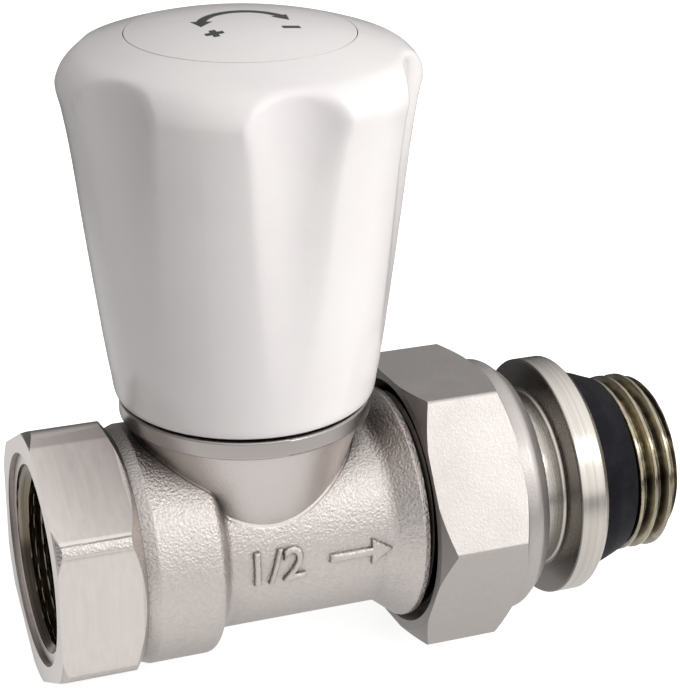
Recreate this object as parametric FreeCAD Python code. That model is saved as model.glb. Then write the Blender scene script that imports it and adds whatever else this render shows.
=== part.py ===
import FreeCAD, Part
import math
import os

# Straight manual radiator valve with its union nut, tailpiece and hand knob, in millimetres.
# The origin is the centre of the inlet thread at the foot of its mouth recess. X runs along the pipe
# towards the radiator, Z runs up along the stem.

# Clearances
running_gap = 0.05
contact_gap = 0.02
moulded_gap = 0.1
free_gap = 0.4
cut_margin = 1.0

# Threads, as the plain cylinders that they fill
pipe_thread_radius = 10.4775
union_thread_radius = 12.64
bonnet_thread_radius = 10.2
stem_thread_radius = 3.75
gland_thread_radius = 6.6

# Inlet end of the body
stem_position = 24.0
inlet_flats = 27.0
inlet_hex_length = 8.4
inlet_edge_rounding = 2.2
inlet_face_radius = 14.4
inlet_face_chamfer = 0.9
inlet_thread_depth = 12.4
inlet_recess_depth = 0.6
inlet_recess_radius = 11.8

# Barrel of the body
valley_radius = 12.9
valley_length = 1.3
shoulder_radius = 13.4
shoulder_length = 7.0
barrel_step = 1.3
barrel_radius = 11.0
flare_offset = 13.6
flare_length = 2.8
rim_radius = 13.3
rim_length = 0.8
union_thread_length = 7.7
thread_end_chamfer = 0.8

# Neck of the body
neck_ring_radius = 13.8
neck_ring_height = 2.1
neck_top = 16.9
neck_cone_radius = 12.9
neck_foot_radius = 9.7
neck_foot_height = 4.6
neck_groove_height = 0.35

# Waterway and seat
passage_radius = 8.4
outlet_passage_radius = 7.4
partition_thickness = 3.0
partition_wall = 3.6
seat_bore_radius = 5.0
seat_width = 1.3
seat_lip_height = 0.8
seat_height = 2.0
chamber_radius = 8.2

# Plug and its soft seat
plug_lift = 4.1
plug_cup_radius = 7.5
plug_cup_height = 3.8
plug_guide_flats = 10.8
plug_guide_height = 8.2
plug_floor = 2.3
seat_washer_radius = 6.6
seat_washer_thickness = 3.0
seat_washer_proud = 1.4
seat_plate_radius = 3.8
seat_plate_thickness = 0.8
seat_screw_radius = 1.5
seat_screw_head_radius = 2.7
seat_screw_head_height = 1.5
seat_screw_length = 6.4

# Bonnet, gland and stem
gasket_thickness = 0.5
gasket_radius = 11.7
bonnet_flange_height = 1.1
bonnet_flats = 19.0
bonnet_hex_height = 6.0
bonnet_boss_radius = 8.4
stem_radius = 4.0
stem_collar_radius = 5.2
stem_collar_height = 1.5
thrust_washer_thickness = 0.5
bonnet_roof = 1.6
o_ring_thickness = 1.9
packing_height = 1.6
gland_insert_height = 1.4
gland_flats = 14.0
gland_head_height = 2.0
clip_radius = 5.6
clip_thickness = 0.8
clip_opening = 5.0
stem_groove_radius = 3.3
stem_flats = 6.0
stem_drive_length = 12.8

# Knob
knob_foot_gap = 0.35
knob_foot_radius = 14.1
knob_side_height = 34.55
knob_rim_radius = 19.05
knob_shoulder_rise = 3.7
knob_shoulder_radius = 16.3
knob_shoulder_bulge_depth = 0.5
knob_dome_rise = 2.8
knob_wall = 1.9
knob_foot_rounding = 0.5
flare_shares = ((0.19, 0.215), (0.31, 0.325), (0.45, 0.45), (0.65, 0.62), (0.80, 0.745), (0.93, 0.89))
flute_count = 6
flute_radius = 9.5
flute_fade_rise = 10.75
flute_depth = 2.1
flute_edge_rounding = 0.9
flute_points = 33
flute_rows = 24
crown_rows = 12
hub_radius = 7.0
hub_gap = 1.08
hub_floor = 1.5
rib_thickness = 1.6
rib_rise = 3.4

# Knob cap and knob screw
cap_radius = 11.9
cap_depth = 4.1
cap_edge = 1.3
cap_skirt = 1.0
screw_well_radius = 5.2
knob_screw_radius = 1.95
knob_screw_length = 11.0
knob_screw_head_radius = 4.0
knob_screw_head_height = 2.4
lock_washer_radius = 4.4
lock_washer_thickness = 0.9

# Union nut
nut_flats = 30.0
nut_gap = 0.3
nut_hex_length = 10.6
nut_edge_rounding = 0.5
nut_face_radius = 15.3
nut_mouth_radius = 14.2
nut_turn = 4.0
nut_collar_radius = 14.8
nut_collar_end_radius = 13.4
nut_floor_length = 3.8

# Tailpiece
tail_nose_radius = 8.9
tail_nose_length = 6.0
tail_neck_radius = 10.2
tail_lip_length = 1.0
retainer_groove_radius = 9.4
retainer_thickness = 1.4
retainer_radius = 12.1
retainer_opening = 2.4
tail_neck_length = 3.71
tail_flange_radius = 13.98
tail_flange_length = 3.75
tail_flange_chamfer = 0.7
tail_seal_seat_radius = 9.3
tail_seal_length = 5.3
tail_seal_start_wall = 2.7
tail_seal_end_wall = 1.2
tail_seal_crown_height = 0.25
tail_thread_length = 5.46
tail_thread_chamfer = 0.8
tail_bore_radius = 6.6
tail_key_flats = 12.2
nose_ring_thickness = 1.5
nose_ring_position = 3.0

UP = FreeCAD.Vector(0, 0, 1)
ALONG = FreeCAD.Vector(1, 0, 0)
STEM_BASE = FreeCAD.Vector(stem_position, 0, 0)


def outline_wire(corners, place):
    """Closed wire through (first, second, rounding) corners, put in space by place."""
    count = len(corners)
    points = [FreeCAD.Vector(first, second, 0) for first, second, _ in corners]
    starts = []
    middles = []
    ends = []
    for index, corner in enumerate(corners):
        here = points[index]
        rounding = corner[2]
        if rounding == 0:
            starts.append(here)
            middles.append(None)
            ends.append(here)
            continue
        back = points[index - 1].sub(here).normalize()
        ahead = points[(index + 1) % count].sub(here).normalize()
        half = back.getAngle(ahead) / 2
        inward = back.add(ahead).normalize()
        reach = rounding / math.tan(half)
        depth = rounding / math.sin(half) - rounding
        starts.append(here.add(FreeCAD.Vector(back).multiply(reach)))
        middles.append(here.add(FreeCAD.Vector(inward).multiply(depth)))
        ends.append(here.add(FreeCAD.Vector(ahead).multiply(reach)))
    edges = []
    for index in range(count):
        if middles[index] is not None:
            arc = Part.Arc(place(starts[index]), place(middles[index]), place(ends[index]))
            edges.append(arc.toShape())
        following = starts[(index + 1) % count]
        if ends[index].distanceToPoint(following) > 1e-6:
            edges.append(Part.makeLine(place(ends[index]), place(following)))
    return Part.Wire(edges)


def turned_on_pipe(corners):
    """Solid turned about the pipe axis from (along, radius, rounding) corners."""
    wire = outline_wire(corners, lambda point: FreeCAD.Vector(point.x, 0, point.y))
    return Part.Face(wire).revolve(FreeCAD.Vector(0, 0, 0), ALONG, 360)


def turned_on_stem(corners):
    """Solid turned about the stem axis from (radius, height, rounding) corners."""
    wire = outline_wire(corners, lambda point: FreeCAD.Vector(stem_position + point.x, 0, point.y))
    return Part.Face(wire).revolve(STEM_BASE, UP, 360)


def rod_on_pipe(radius, start, end):
    """Plain cylinder on the pipe axis."""
    return Part.makeCylinder(radius, end - start, FreeCAD.Vector(start, 0, 0), ALONG)


def rod_on_stem(radius, bottom, top):
    """Plain cylinder on the stem axis."""
    return Part.makeCylinder(radius, top - bottom, FreeCAD.Vector(stem_position, 0, bottom), UP)


def ring_on_stem(inner, outer, bottom, top):
    """Flat ring on the stem axis."""
    hole = rod_on_stem(inner, bottom - cut_margin, top + cut_margin)
    return rod_on_stem(outer, bottom, top).cut(hole)


def hexagon_on_pipe(flats, start, end, first_corner):
    """Hexagon bar on the pipe axis, first_corner in degrees from the front."""
    reach = flats / math.sqrt(3)
    corners = []
    for step in range(7):
        turn = math.radians(first_corner + 60 * step)
        corners.append(FreeCAD.Vector(start, -reach * math.cos(turn), reach * math.sin(turn)))
    return Part.Face(Part.makePolygon(corners)).extrude(FreeCAD.Vector(end - start, 0, 0))


def hexagon_on_stem(flats, bottom, top):
    """Hexagon bar on the stem axis."""
    reach = flats / math.sqrt(3)
    corners = []
    for step in range(7):
        turn = math.radians(60 * step)
        offset = FreeCAD.Vector(reach * math.cos(turn), reach * math.sin(turn), bottom)
        corners.append(STEM_BASE.add(offset))
    return Part.Face(Part.makePolygon(corners)).extrude(FreeCAD.Vector(0, 0, top - bottom))


def long_edges(solid, length):
    """Edges of a bar that run along the pipe over the given length."""
    found = []
    for edge in solid.Edges:
        box = edge.BoundBox
        if abs(box.XLength - length) < 1e-6 and box.YLength < 1e-6 and box.ZLength < 1e-6:
            found.append(edge)
    return found


def half_space(bottom, top):
    """Block over the whole body between two heights."""
    reach = corner_radius + cut_margin
    corner = FreeCAD.Vector(inlet_face - cut_margin, -reach, bottom)
    return Part.makeBox(outlet_end - inlet_face + 2 * cut_margin, 2 * reach, top - bottom, corner)


def save(shape, node):
    """Write one piece under its node name."""
    shape.exportStep("parts/" + node + ".step")


os.makedirs("parts", exist_ok=True)

# Places along the pipe that follow from the sizes above
inlet_face = -inlet_recess_depth
corner_radius = inlet_flats / math.sqrt(3)
hexagon_end = inlet_face + inlet_hex_length
valley_end = hexagon_end + valley_length
shoulder_start = valley_end + valley_length
shoulder_end = shoulder_start + shoulder_length
barrel_start = shoulder_end + barrel_step
flare_start = stem_position + flare_offset
rim_start = flare_start + flare_length
rim_end = rim_start + rim_length
outlet_end = rim_end + union_thread_length
nose_start = outlet_end - tail_nose_length
nose_bore_radius = tail_nose_radius + running_gap
tail_lip_start = outlet_end + contact_gap
retainer_start = tail_lip_start + tail_lip_length + contact_gap
retainer_end = retainer_start + retainer_thickness
nut_start = rim_end + nut_gap
nut_shoulder_face = retainer_end + free_gap
nut_end = nut_shoulder_face + nut_floor_length
tail_flange_start = nut_end + tail_neck_length
flange_end = tail_flange_start + tail_flange_length
seal_start = flange_end + contact_gap
seal_end = seal_start + tail_seal_length
tail_thread_start = seal_end + contact_gap
tail_end = tail_thread_start + tail_thread_length

# Heights up the stem that follow from the sizes above
chamber_floor = seat_height - seat_lip_height
partition_bottom = chamber_floor - partition_thickness
gasket_bottom = neck_top + contact_gap
bonnet_seat = gasket_bottom + gasket_thickness + contact_gap
bonnet_hex_bottom = bonnet_seat + bonnet_flange_height
bonnet_hex_top = bonnet_hex_bottom + bonnet_hex_height
washer_bottom = seat_height + contact_gap
washer_top = washer_bottom + seat_washer_thickness
cup_bottom = washer_bottom + seat_washer_proud
plug_floor_bottom = washer_top + contact_gap
cup_top = cup_bottom + plug_cup_height
chamber_top = cup_top + plug_lift + free_gap
guide_top = cup_top + plug_guide_height
plug_bore_bottom = plug_floor_bottom + plug_floor
stem_bottom = plug_bore_bottom + plug_lift + free_gap
collar_bottom = guide_top + plug_lift + free_gap
collar_top = collar_bottom + stem_collar_height
thrust_bottom = collar_top + contact_gap
roof_bottom = thrust_bottom + thrust_washer_thickness + contact_gap
roof_top = roof_bottom + bonnet_roof
o_ring_radius = o_ring_thickness / 2
o_ring_centre = roof_top + contact_gap + o_ring_radius
packing_bottom = o_ring_centre + o_ring_radius + contact_gap
packing_top = packing_bottom + packing_height
gland_bottom = packing_top + contact_gap
gland_head_bottom = gland_bottom + gland_insert_height
bonnet_top = gland_head_bottom - contact_gap
gland_top = gland_head_bottom + gland_head_height
clip_bottom = gland_top + free_gap / 2
clip_top = clip_bottom + clip_thickness
gland_bore_radius = stem_radius + contact_gap + o_ring_thickness + contact_gap
hub_bottom = clip_top + hub_gap
rib_bottom = hub_bottom + rib_rise
stem_top = hub_bottom + stem_drive_length
lock_washer_bottom = stem_top + free_gap + hub_floor + contact_gap
screw_head_bottom = lock_washer_bottom + lock_washer_thickness + contact_gap
knob_bottom = neck_top + knob_foot_gap
knob_rim_height = knob_bottom + knob_side_height
knob_shoulder_height = knob_rim_height + knob_shoulder_rise
knob_top = knob_shoulder_height + knob_dome_rise
flute_fade_height = knob_bottom + flute_fade_rise
cap_seat = knob_top - cap_depth

# Valve body: the hexagon, the turned forging and the neck, then the waterways
hexagon = hexagon_on_pipe(inlet_flats, inlet_face, valley_end, 30)
hexagon = hexagon.makeFillet(inlet_edge_rounding, long_edges(hexagon, valley_end - inlet_face))
hexagon_limit = turned_on_pipe((
    (inlet_face, 0, 0),
    (inlet_face, inlet_face_radius, 0),
    (inlet_face + inlet_face_chamfer, corner_radius, 0),
    (hexagon_end - valley_length / 2, corner_radius, 1.0),
    (valley_end, valley_radius, 0),
    (valley_end, 0, 0),
))
hexagon = hexagon.common(hexagon_limit)
barrel = turned_on_pipe((
    (hexagon_end, 0, 0),
    (hexagon_end, valley_radius, 0),
    (valley_end, valley_radius, 0.5),
    (shoulder_start, shoulder_radius, 0.6),
    (shoulder_end, shoulder_radius, 1.2),
    (barrel_start, barrel_radius, 1.2),
    (flare_start, barrel_radius, 2.0),
    (rim_start, rim_radius, 0.3),
    (rim_end, rim_radius, 0.2),
    (rim_end, union_thread_radius, 0),
    (outlet_end - thread_end_chamfer, union_thread_radius, 0),
    (outlet_end, union_thread_radius - thread_end_chamfer, 0),
    (outlet_end, 0, 0),
))
ring_bottom = neck_top - neck_ring_height
neck = turned_on_stem((
    (0, 0, 0),
    (neck_foot_radius, 0, 0),
    (neck_foot_radius, neck_foot_height, 3.0),
    (neck_cone_radius, ring_bottom - neck_groove_height, 0),
    (neck_cone_radius, ring_bottom, 0),
    (neck_ring_radius, ring_bottom, 0.3),
    (neck_ring_radius, neck_top, 0.3),
    (0, neck_top, 0),
))
inlet_bore = turned_on_pipe((
    (inlet_face - cut_margin, 0, 0),
    (inlet_face - cut_margin, inlet_recess_radius, 0),
    (0, inlet_recess_radius, 0),
    (0, pipe_thread_radius, 0),
    (inlet_thread_depth, pipe_thread_radius, 0),
    (inlet_thread_depth, 0, 0),
))
lower_passage_end = stem_position + seat_bore_radius
lower_passage = rod_on_pipe(passage_radius, inlet_thread_depth - cut_margin, lower_passage_end)
lower_passage = lower_passage.common(half_space(-corner_radius, partition_bottom))
seat_bore = rod_on_stem(seat_bore_radius, partition_bottom - cut_margin, seat_height + cut_margin)
chamber = rod_on_stem(chamber_radius, chamber_floor, chamber_top)
seat_lip_bottom = chamber_floor - cut_margin
seat_lip = ring_on_stem(seat_bore_radius, seat_bore_radius + seat_width, seat_lip_bottom, seat_height)
bonnet_bore_radius = bonnet_thread_radius + running_gap
bonnet_bore = rod_on_stem(bonnet_bore_radius, chamber_top, neck_top + cut_margin)
outlet_start = lower_passage_end + partition_wall
upper_passage = rod_on_pipe(outlet_passage_radius, stem_position, outlet_start + cut_margin)
upper_passage = upper_passage.common(half_space(chamber_floor, corner_radius))
outlet_passage = rod_on_pipe(outlet_passage_radius, outlet_start, nose_start)
nose_bore = rod_on_pipe(nose_bore_radius, nose_start - free_gap, outlet_end + cut_margin)
valve_body = hexagon.fuse([barrel, neck])
valve_body = valve_body.cut([inlet_bore, lower_passage, chamber, bonnet_bore])
valve_body = valve_body.cut([upper_passage, outlet_passage, nose_bore])
valve_body = valve_body.fuse(seat_lip).cut(seat_bore).removeSplitter()
save(valve_body, "valve_body")

# Union nut: hexagon with chamfered ends, round collar and an inner shoulder
nut_hex_end = nut_start + nut_hex_length
nut = hexagon_on_pipe(nut_flats, nut_start, nut_hex_end, nut_turn)
nut = nut.makeFillet(nut_edge_rounding, long_edges(nut, nut_hex_length))
nut_corner = nut_flats / math.sqrt(3)
nut_chamfer = (nut_corner - nut_face_radius) * math.tan(math.radians(30))
nut_limit = turned_on_pipe((
    (nut_start, 0, 0),
    (nut_start, nut_face_radius, 0),
    (nut_start + nut_chamfer, nut_corner, 0),
    (nut_hex_end - nut_chamfer, nut_corner, 0),
    (nut_hex_end, nut_face_radius, 0),
    (nut_hex_end, 0, 0),
))
nut_collar = turned_on_pipe((
    (nut_hex_end - cut_margin, 0, 0),
    (nut_hex_end - cut_margin, nut_collar_radius, 0),
    ((nut_hex_end + nut_end) / 2, nut_collar_radius, 1.5),
    (nut_end, nut_collar_end_radius, 0.4),
    (nut_end, 0, 0),
))
nut_thread_radius = union_thread_radius + running_gap
nut_bore_radius = tail_neck_radius + free_gap
nut_inside = turned_on_pipe((
    (nut_start - cut_margin, 0, 0),
    (nut_start - cut_margin, nut_mouth_radius, 0),
    (nut_start, nut_mouth_radius, 0),
    (nut_start + nut_mouth_radius - nut_thread_radius, nut_thread_radius, 0),
    (nut_shoulder_face, nut_thread_radius, 0),
    (nut_shoulder_face, nut_bore_radius, 0),
    (nut_end + cut_margin, nut_bore_radius, 0),
    (nut_end + cut_margin, 0, 0),
))
union_nut = nut.common(nut_limit).fuse(nut_collar).cut(nut_inside).removeSplitter()
save(union_nut, "union_nut")

# Tailpiece: nose, lip, groove for the split ring, neck, flange, seal seat and thread
nose_ring_radius = nose_ring_thickness / 2
nose_ring_centre = nose_start + nose_ring_position
nose_groove_radius = nose_bore_radius - running_gap - nose_ring_thickness
groove_half = nose_ring_radius + contact_gap
tail_outside = turned_on_pipe((
    (nose_start, 0, 0),
    (nose_start, tail_nose_radius, 0.4),
    (nose_ring_centre - groove_half, tail_nose_radius, 0),
    (nose_ring_centre - groove_half, nose_groove_radius - contact_gap, 0),
    (nose_ring_centre + groove_half, nose_groove_radius - contact_gap, 0),
    (nose_ring_centre + groove_half, tail_nose_radius, 0),
    (tail_lip_start, tail_nose_radius, 0),
    (tail_lip_start, tail_neck_radius, 0.2),
    (retainer_start - contact_gap, tail_neck_radius, 0),
    (retainer_start - contact_gap, retainer_groove_radius, 0),
    (retainer_end + contact_gap, retainer_groove_radius, 0),
    (retainer_end + contact_gap, tail_neck_radius, 0),
    (tail_flange_start, tail_neck_radius, 0.5),
    (tail_flange_start, tail_flange_radius, 0.2),
    (flange_end - tail_flange_chamfer, tail_flange_radius, 0.3),
    (flange_end, tail_flange_radius - tail_flange_chamfer, 0.2),
    (flange_end, tail_seal_seat_radius, 0),
    (tail_thread_start, tail_seal_seat_radius, 0),
    (tail_thread_start, pipe_thread_radius, 0),
    (tail_end - tail_thread_chamfer, pipe_thread_radius, 0),
    (tail_end, pipe_thread_radius - tail_thread_chamfer, 0),
    (tail_end, 0, 0),
))
tail_bore = rod_on_pipe(tail_bore_radius, nose_start - cut_margin, tail_flange_start)
tail_key = hexagon_on_pipe(tail_key_flats, tail_flange_start - cut_margin, tail_end + cut_margin, 0)
tailpiece = tail_outside.cut([tail_bore, tail_key])
save(tailpiece, "tailpiece")

tail_seal_start_radius = tail_seal_seat_radius + tail_seal_start_wall
tail_seal_end_radius = tail_seal_seat_radius + tail_seal_end_wall
tail_seal_middle_radius = (tail_seal_start_radius + tail_seal_end_radius) / 2 + tail_seal_crown_height
tail_seal = turned_on_pipe((
    (seal_start, tail_seal_seat_radius + contact_gap, 0),
    (seal_start, tail_seal_start_radius, 0.4),
    (seal_start + tail_seal_length / 2, tail_seal_middle_radius, 3.0),
    (seal_end, tail_seal_end_radius, 0.3),
    (seal_end, tail_seal_seat_radius + contact_gap, 0),
))
save(tail_seal, "tail_seal")

nose_ring_reach = nose_groove_radius + nose_ring_radius
nose_ring_place = FreeCAD.Vector(nose_ring_centre, 0, 0)
save(Part.makeTorus(nose_ring_reach, nose_ring_radius, nose_ring_place, ALONG), "tail_o_ring")

retainer_inner = retainer_groove_radius + contact_gap
retainer = rod_on_pipe(retainer_radius, retainer_start, retainer_end)
retainer_way = rod_on_pipe(retainer_inner, retainer_start - cut_margin, retainer_end + cut_margin)
retainer = retainer.cut(retainer_way)
retainer_slot = Part.makeBox(
    retainer_thickness + 2 * cut_margin,
    retainer_opening,
    retainer_radius + cut_margin,
    FreeCAD.Vector(retainer_start - cut_margin, -retainer_opening / 2, 0),
)
save(retainer.cut(retainer_slot), "nut_retaining_ring")

# Plug with its soft washer, plate and screw
plug = turned_on_stem((
    (0, cup_bottom, 0),
    (plug_cup_radius, cup_bottom, 0.3),
    (plug_cup_radius, cup_top, 0.6),
    (0, cup_top, 0),
))
plug = plug.fuse(hexagon_on_stem(plug_guide_flats, cup_top - cut_margin, guide_top))
plug_thread = rod_on_stem(stem_thread_radius + running_gap, plug_bore_bottom, guide_top + cut_margin)
washer_pocket = rod_on_stem(seat_washer_radius + contact_gap, cup_bottom - cut_margin, plug_floor_bottom)
seat_screw_bottom = washer_bottom - contact_gap - seat_plate_thickness - contact_gap
seat_screw_top = seat_screw_bottom + seat_screw_length
seat_screw_hole = rod_on_stem(seat_screw_radius + running_gap, washer_bottom, seat_screw_top + contact_gap)
plug = plug.cut([plug_thread, washer_pocket, seat_screw_hole]).removeSplitter()
save(plug, "valve_plug")

seat_washer = rod_on_stem(seat_washer_radius, washer_bottom, washer_top)
save(seat_washer.cut(seat_screw_hole), "seat_washer")

seat_plate_top = washer_bottom - contact_gap
seat_plate_bottom = seat_plate_top - seat_plate_thickness
seat_plate_hole = seat_screw_radius + running_gap
seat_plate = ring_on_stem(seat_plate_hole, seat_plate_radius, seat_plate_bottom, seat_plate_top)
save(seat_plate, "seat_washer_plate")

seat_screw = turned_on_stem((
    (0, seat_screw_bottom - seat_screw_head_height, 0),
    (seat_screw_head_radius, seat_screw_bottom - seat_screw_head_height, 0.6),
    (seat_screw_head_radius, seat_screw_bottom, 0),
    (seat_screw_radius, seat_screw_bottom, 0),
    (seat_screw_radius, seat_screw_top, 0.4),
    (0, seat_screw_top, 0),
))
save(seat_screw, "seat_washer_screw")

# Bonnet, its gasket and everything round the stem
bonnet = turned_on_stem((
    (0, chamber_top + contact_gap, 0),
    (bonnet_thread_radius, chamber_top + contact_gap, 0.5),
    (bonnet_thread_radius, bonnet_seat, 0),
    (gasket_radius, bonnet_seat, 0),
    (gasket_radius, bonnet_hex_bottom, 0.3),
    (bonnet_boss_radius, bonnet_hex_bottom, 0),
    (bonnet_boss_radius, bonnet_top, 0.6),
    (0, bonnet_top, 0),
))
bonnet_hex_root = bonnet_hex_bottom - bonnet_flange_height / 2
bonnet = bonnet.fuse(hexagon_on_stem(bonnet_flats, bonnet_hex_root, bonnet_hex_top))
guide_flats = plug_guide_flats + 2 * running_gap
guide_hole = hexagon_on_stem(guide_flats, chamber_top - cut_margin, roof_bottom)
stem_hole = rod_on_stem(stem_radius + running_gap, roof_bottom - cut_margin, roof_top + cut_margin)
gland_hole = rod_on_stem(gland_bore_radius, roof_top, gland_bottom)
gland_thread = rod_on_stem(gland_thread_radius + running_gap, gland_bottom, bonnet_top + cut_margin)
bonnet = bonnet.cut([guide_hole, stem_hole, gland_hole, gland_thread]).removeSplitter()
save(bonnet, "bonnet")

gasket_top = gasket_bottom + gasket_thickness
save(ring_on_stem(bonnet_bore_radius, gasket_radius, gasket_bottom, gasket_top), "bonnet_gasket")

stem = turned_on_stem((
    (0, stem_bottom, 0),
    (stem_thread_radius, stem_bottom, 0.5),
    (stem_thread_radius, collar_bottom, 0),
    (stem_collar_radius, collar_bottom, 0.2),
    (stem_collar_radius, collar_top, 0.2),
    (stem_radius, collar_top, 0),
    (stem_radius, clip_bottom - contact_gap, 0),
    (stem_groove_radius, clip_bottom - contact_gap, 0),
    (stem_groove_radius, clip_top + contact_gap, 0),
    (stem_radius, clip_top + contact_gap, 0),
    (stem_radius, stem_top, 0.4),
    (0, stem_top, 0),
))
drive_block = Part.makeBox(
    4 * stem_radius,
    stem_flats,
    stem_top,
    FreeCAD.Vector(stem_position - 2 * stem_radius, -stem_flats / 2, hub_bottom),
)
drive_end = stem.common(drive_block)
stem = stem.common(half_space(stem_bottom - cut_margin, hub_bottom)).fuse(drive_end).removeSplitter()
screw_end = screw_head_bottom - knob_screw_length
screw_hole = rod_on_stem(knob_screw_radius + running_gap, screw_end - contact_gap, screw_head_bottom)
save(stem.cut(screw_hole), "stem")

thrust_top = thrust_bottom + thrust_washer_thickness
thrust_washer = ring_on_stem(stem_radius + running_gap, stem_collar_radius, thrust_bottom, thrust_top)
save(thrust_washer, "thrust_washer")

o_ring_reach = stem_radius + contact_gap + o_ring_radius
o_ring_place = FreeCAD.Vector(stem_position, 0, o_ring_centre)
save(Part.makeTorus(o_ring_reach, o_ring_radius, o_ring_place, UP), "stem_o_ring")

packing_outer = gland_bore_radius - contact_gap
packing = ring_on_stem(stem_radius + running_gap, packing_outer, packing_bottom, packing_top)
save(packing, "packing_ring")

gland = rod_on_stem(gland_thread_radius, gland_bottom, gland_head_bottom)
gland = gland.fuse(hexagon_on_stem(gland_flats, gland_head_bottom, gland_top))
gland_way = rod_on_stem(stem_radius + running_gap, gland_bottom - cut_margin, gland_top + cut_margin)
gland = gland.cut(gland_way)
save(gland.removeSplitter(), "gland_nut")

clip = ring_on_stem(stem_groove_radius + contact_gap, clip_radius, clip_bottom, clip_top)
clip_slot = Part.makeBox(
    clip_radius + cut_margin,
    clip_opening,
    clip_thickness + 2 * cut_margin,
    FreeCAD.Vector(stem_position, -clip_opening / 2, clip_bottom - cut_margin),
)
save(clip.cut(clip_slot), "stem_clip")


# Knob: flared shell with six fading flutes, hub and ribs
flare_points = [(knob_foot_radius, knob_bottom)]
for share, value in flare_shares + ((1.0, 1.0),):
    flare_points.append((
        knob_foot_radius + value * (knob_rim_radius - knob_foot_radius),
        knob_bottom + share * (knob_rim_height - knob_bottom),
    ))
dome_ball_radius = (knob_shoulder_radius ** 2 + knob_dome_rise ** 2) / (2 * knob_dome_rise)


def knob_point(radius, height):
    """Point of the knob outline in the plane of the pipe."""
    return FreeCAD.Vector(stem_position + radius, 0, height)


def flare_line(inset):
    """Smooth line up the flared side, moved in by inset."""
    curve = Part.BSplineCurve()
    curve.interpolate([knob_point(radius - inset, height) for radius, height in flare_points])
    return curve


def flare_radius(height):
    """Outside radius of the flared side at a height."""
    level = Part.makeLine(knob_point(0, height), knob_point(2 * knob_rim_radius, height))
    return level.Curve.intersect(flare_line(0))[0].X - stem_position


def dome_height(radius):
    """Height of the domed top at a radius."""
    return knob_top - dome_ball_radius + math.sqrt(dome_ball_radius ** 2 - radius ** 2)


fade_radius = flare_radius(flute_fade_height)
flute_lean = (knob_rim_radius - flute_depth - fade_radius) / (knob_rim_height - flute_fade_height)


def flute_axis(height):
    """Distance from the stem to the axis of the leaning rod that shapes a flute."""
    return fade_radius + flute_radius + flute_lean * (height - flute_fade_height)


def fluted_radius(radius, height, turn):
    """Outside radius at a turn in degrees from the middle of a flute, with soft edges."""
    aside = flute_axis(height) * math.sin(math.radians(turn))
    if abs(aside) >= flute_radius:
        return radius
    floor = flute_axis(height) * math.cos(math.radians(turn)) - math.sqrt(flute_radius ** 2 - aside ** 2)
    blend = max(flute_edge_rounding - abs(radius - floor), 0) / flute_edge_rounding
    return min(radius, floor) - blend ** 2 * flute_edge_rounding / 4


def round_the_knob(shape):
    """Copies of a shape at every flute."""
    copies = []
    for step in range(flute_count):
        copy = shape.copy()
        copy.rotate(STEM_BASE, UP, 360 * step / flute_count)
        copies.append(copy)
    return copies


def level_face(walls, height):
    """Flat face that closes the walls at a height."""
    edges = []
    for wall in walls:
        for edge in wall.Edges:
            if all(abs(vertex.Z - height) < 1e-6 for vertex in edge.Vertexes):
                edges.append(edge)
    return Part.Face(Part.Wire(Part.sortEdges(edges)[0]))


crown_radius = cap_radius - 2 * cut_margin
foot_arc = Part.Arc(
    knob_point(knob_foot_radius - knob_foot_rounding, knob_bottom),
    knob_point(knob_foot_radius - knob_foot_rounding * 0.29, knob_bottom + knob_foot_rounding * 0.29),
    knob_point(flare_radius(knob_bottom + knob_foot_rounding), knob_bottom + knob_foot_rounding),
)
shoulder_arc = Part.Arc(
    knob_point(knob_rim_radius, knob_rim_height),
    knob_point(
        (knob_rim_radius + knob_shoulder_radius) / 2 + knob_shoulder_bulge_depth,
        (knob_rim_height + knob_shoulder_height) / 2 + knob_shoulder_bulge_depth,
    ),
    knob_point(knob_shoulder_radius, knob_shoulder_height),
)
knob_outline = [(point.x - stem_position, point.z) for point in foot_arc.toShape().discretize(4)]
for step in range(1, flute_rows):
    height = knob_bottom + knob_foot_rounding + (knob_side_height - knob_foot_rounding) * step / flute_rows
    knob_outline.append((flare_radius(height), height))
shoulder_points = shoulder_arc.toShape().discretize(crown_rows)
knob_outline += [(point.x - stem_position, point.z) for point in shoulder_points[1:]]
for step in range(1, crown_rows + 1):
    radius = knob_shoulder_radius + (crown_radius - knob_shoulder_radius) * step / crown_rows
    knob_outline.append((radius, dome_height(radius)))
rows = []
for radius, height in knob_outline:
    row = []
    for step in range(flute_points):
        turn = 180 / flute_count * (2 * step / (flute_points - 1) - 1)
        reach = fluted_radius(radius, height, turn)
        angle = math.radians(turn - 90)
        offset = FreeCAD.Vector(reach * math.cos(angle), reach * math.sin(angle), height)
        row.append(STEM_BASE.add(offset))
    rows.append(row)
sector = Part.BSplineSurface()
sector.interpolate(rows)
walls = round_the_knob(sector.toShape())
knob_foot_face = level_face(walls, knob_bottom)
crown_face = level_face(walls, dome_height(crown_radius))
knob_shell = Part.Shell(walls + [knob_foot_face, crown_face])
knob_shell.sewShape()
knob = Part.Solid(knob_shell)
if knob.Volume < 0:
    knob.reverse()

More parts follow.
